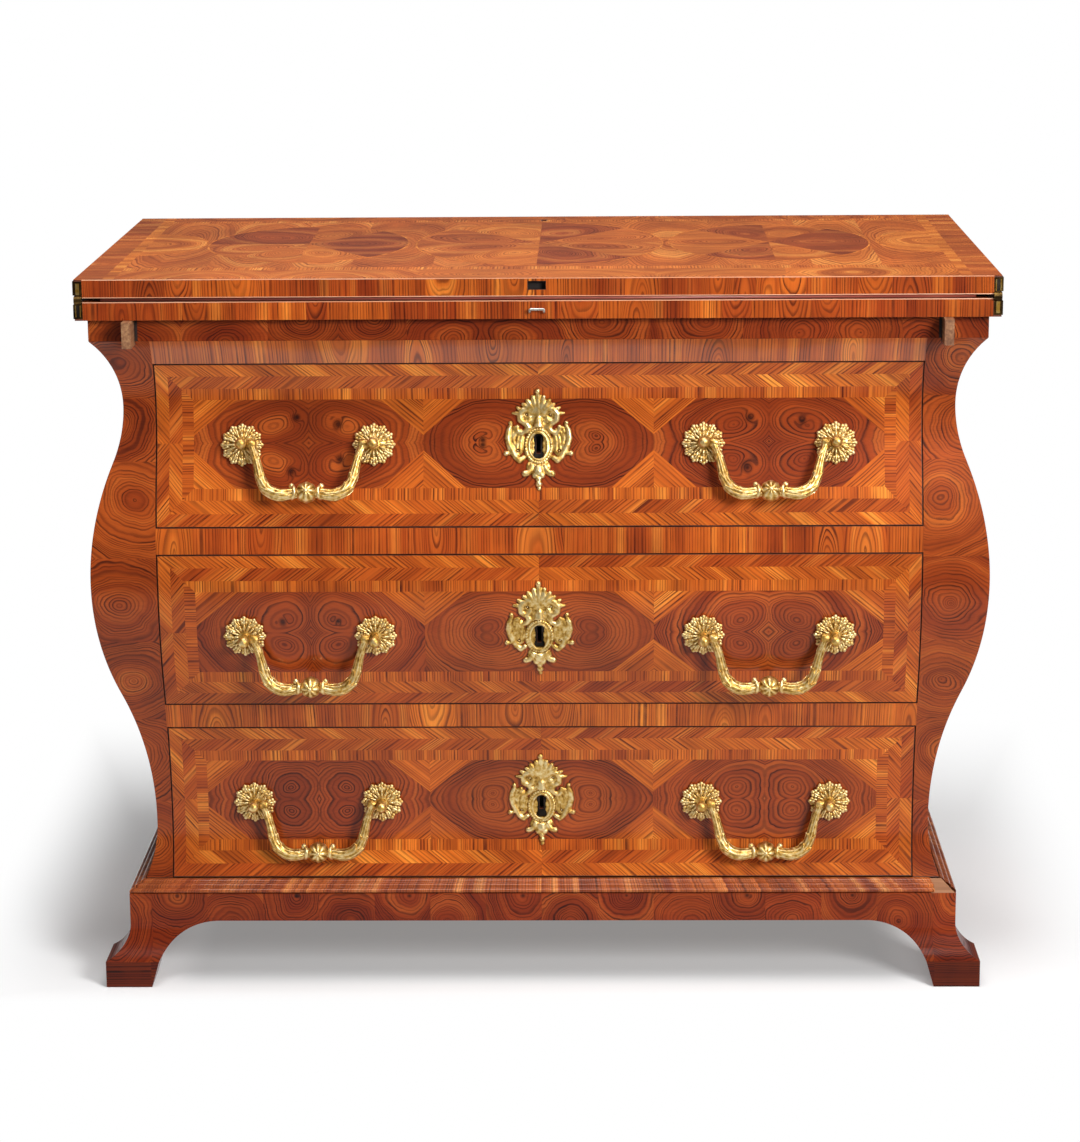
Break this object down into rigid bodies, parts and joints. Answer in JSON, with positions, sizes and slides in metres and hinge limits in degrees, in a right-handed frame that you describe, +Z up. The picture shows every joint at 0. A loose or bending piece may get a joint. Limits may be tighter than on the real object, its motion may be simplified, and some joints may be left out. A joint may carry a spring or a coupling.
{
  "type": "secretary commode",
  "caption": "Curved writing commode with drawers, gilt bail handles and bracket feet; its fold-over top opens forward onto pull-out lopers to make a desk.",
  "frame": {"origin": "centre of the object's box, on the floor between the feet", "axes": "+X to the right as seen from the front, +Y towards the back, +Z up; the drawers open along -Y"},
  "size_m": [1.043, 0.581, 0.843],
  "materials": {
    "veneer": "polished figured veneer",
    "moulding_wood": "polished solid wood",
    "carcass_wood": "planed softwood",
    "loper_wood": "worn hardwood",
    "hinge_brass": "worn cast brass",
    "gilt_bronze": "chased and gilt bronze",
    "steel": "forged and filed",
    "lock_iron": "blackened iron",
    "leather": "polished hide"
  },
  "bodies": {
    "carcass": {"left_side_panel": "veneer", "right_side_panel": "veneer", "back_panel": "carcass_wood", "frieze_rail": "veneer", "upper_drawer_rail": "veneer", "lower_drawer_rail": "veneer", "dust_boards": "carcass_wood", "drawer_kickers": "carcass_wood", "drawer_stops": "carcass_wood", "base_board": "carcass_wood", "base_moulding": "moulding_wood", "front_apron": "veneer", "side_aprons": "veneer", "back_apron": "carcass_wood", "front_left_foot": "veneer", "front_right_foot": "veneer", "back_left_foot": "veneer", "back_right_foot": "veneer", "lower_leaf": "veneer", "lower_hinge_plates": "hinge_brass", "hinge_pins": "steel", "locating_staple": "steel", "leaf_strike_plate": "lock_iron"},
    "leaf": {"upper_leaf": "veneer", "writing_bed": "moulding_wood", "writing_leather": "leather", "upper_hinge_plates": "hinge_brass", "leaf_lock": "lock_iron"},
    "left_loper": {"left_loper": "loper_wood"},
    "right_loper": {"right_loper": "loper_wood"},
    "bottom_drawer": {"bottom_drawer_front": "veneer", "bottom_drawer_sides": "carcass_wood", "bottom_drawer_back": "carcass_wood", "bottom_drawer_bottom": "carcass_wood", "bottom_drawer_lock": "lock_iron", "bottom_drawer_escutcheon": "gilt_bronze", "bottom_drawer_rosettes": "gilt_bronze", "bottom_drawer_handle_bolts": "gilt_bronze"},
    "middle_drawer": {"middle_drawer_front": "veneer", "middle_drawer_sides": "carcass_wood", "middle_drawer_back": "carcass_wood", "middle_drawer_bottom": "carcass_wood", "middle_drawer_lock": "lock_iron", "middle_drawer_escutcheon": "gilt_bronze", "middle_drawer_rosettes": "gilt_bronze", "middle_drawer_handle_bolts": "gilt_bronze"},
    "top_drawer": {"top_drawer_front": "veneer", "top_drawer_sides": "carcass_wood", "top_drawer_back": "carcass_wood", "top_drawer_bottom": "carcass_wood", "top_drawer_lock": "lock_iron", "top_drawer_escutcheon": "gilt_bronze", "top_drawer_rosettes": "gilt_bronze", "top_drawer_handle_bolts": "gilt_bronze"},
    "bottom_drawer_left_bail": {"bottom_drawer_left_bail": "gilt_bronze"},
    "bottom_drawer_right_bail": {"bottom_drawer_right_bail": "gilt_bronze"},
    "middle_drawer_left_bail": {"middle_drawer_left_bail": "gilt_bronze"},
    "middle_drawer_right_bail": {"middle_drawer_right_bail": "gilt_bronze"},
    "top_drawer_left_bail": {"top_drawer_left_bail": "gilt_bronze"},
    "top_drawer_right_bail": {"top_drawer_right_bail": "gilt_bronze"}
  },
  "joints": [
    {"name": "leaf_hinge", "type": "hinge", "parent": "carcass", "child": "leaf", "pos_m": [0, -0.27172, 0.81975], "axis": [1, 0, 0], "range_deg": [0, 180]},
    {"name": "left_loper_slide", "type": "slide", "parent": "carcass", "child": "left_loper", "axis": [0, -1, 0], "range_m": [0, 0.3]},
    {"name": "right_loper_slide", "type": "slide", "parent": "carcass", "child": "right_loper", "axis": [0, -1, 0], "range_m": [0, 0.3]},
    {"name": "bottom_drawer_slide", "type": "slide", "parent": "carcass", "child": "bottom_drawer", "axis": [0, -1, 0], "range_m": [0, 0.38]},
    {"name": "middle_drawer_slide", "type": "slide", "parent": "carcass", "child": "middle_drawer", "axis": [0, -1, 0], "range_m": [0, 0.38]},
    {"name": "top_drawer_slide", "type": "slide", "parent": "carcass", "child": "top_drawer", "axis": [0, -1, 0], "range_m": [0, 0.38]},
    {"name": "bottom_drawer_left_bail_swing", "type": "hinge", "parent": "bottom_drawer", "child": "bottom_drawer_left_bail", "pos_m": [-0.264, -0.22265, 0.21122], "axis": [-1, 0, 0], "range_deg": [0, 100]},
    {"name": "bottom_drawer_right_bail_swing", "type": "hinge", "parent": "bottom_drawer", "child": "bottom_drawer_right_bail", "pos_m": [0.264, -0.22265, 0.21122], "axis": [-1, 0, 0], "range_deg": [0, 100]},
    {"name": "middle_drawer_left_bail_swing", "type": "hinge", "parent": "middle_drawer", "child": "middle_drawer_left_bail", "pos_m": [-0.264, -0.27516, 0.42667], "axis": [-1, 0, 0], "range_deg": [0, 100]},
    {"name": "middle_drawer_right_bail_swing", "type": "hinge", "parent": "middle_drawer", "child": "middle_drawer_right_bail", "pos_m": [0.264, -0.27516, 0.42667], "axis": [-1, 0, 0], "range_deg": [0, 100]},
    {"name": "top_drawer_left_bail_swing", "type": "hinge", "parent": "top_drawer", "child": "top_drawer_left_bail", "pos_m": [-0.264, -0.24653, 0.64971], "axis": [-1, 0, 0], "range_deg": [0, 100]},
    {"name": "top_drawer_right_bail_swing", "type": "hinge", "parent": "top_drawer", "child": "top_drawer_right_bail", "pos_m": [0.264, -0.24653, 0.64971], "axis": [-1, 0, 0], "range_deg": [0, 100]}
  ]
}
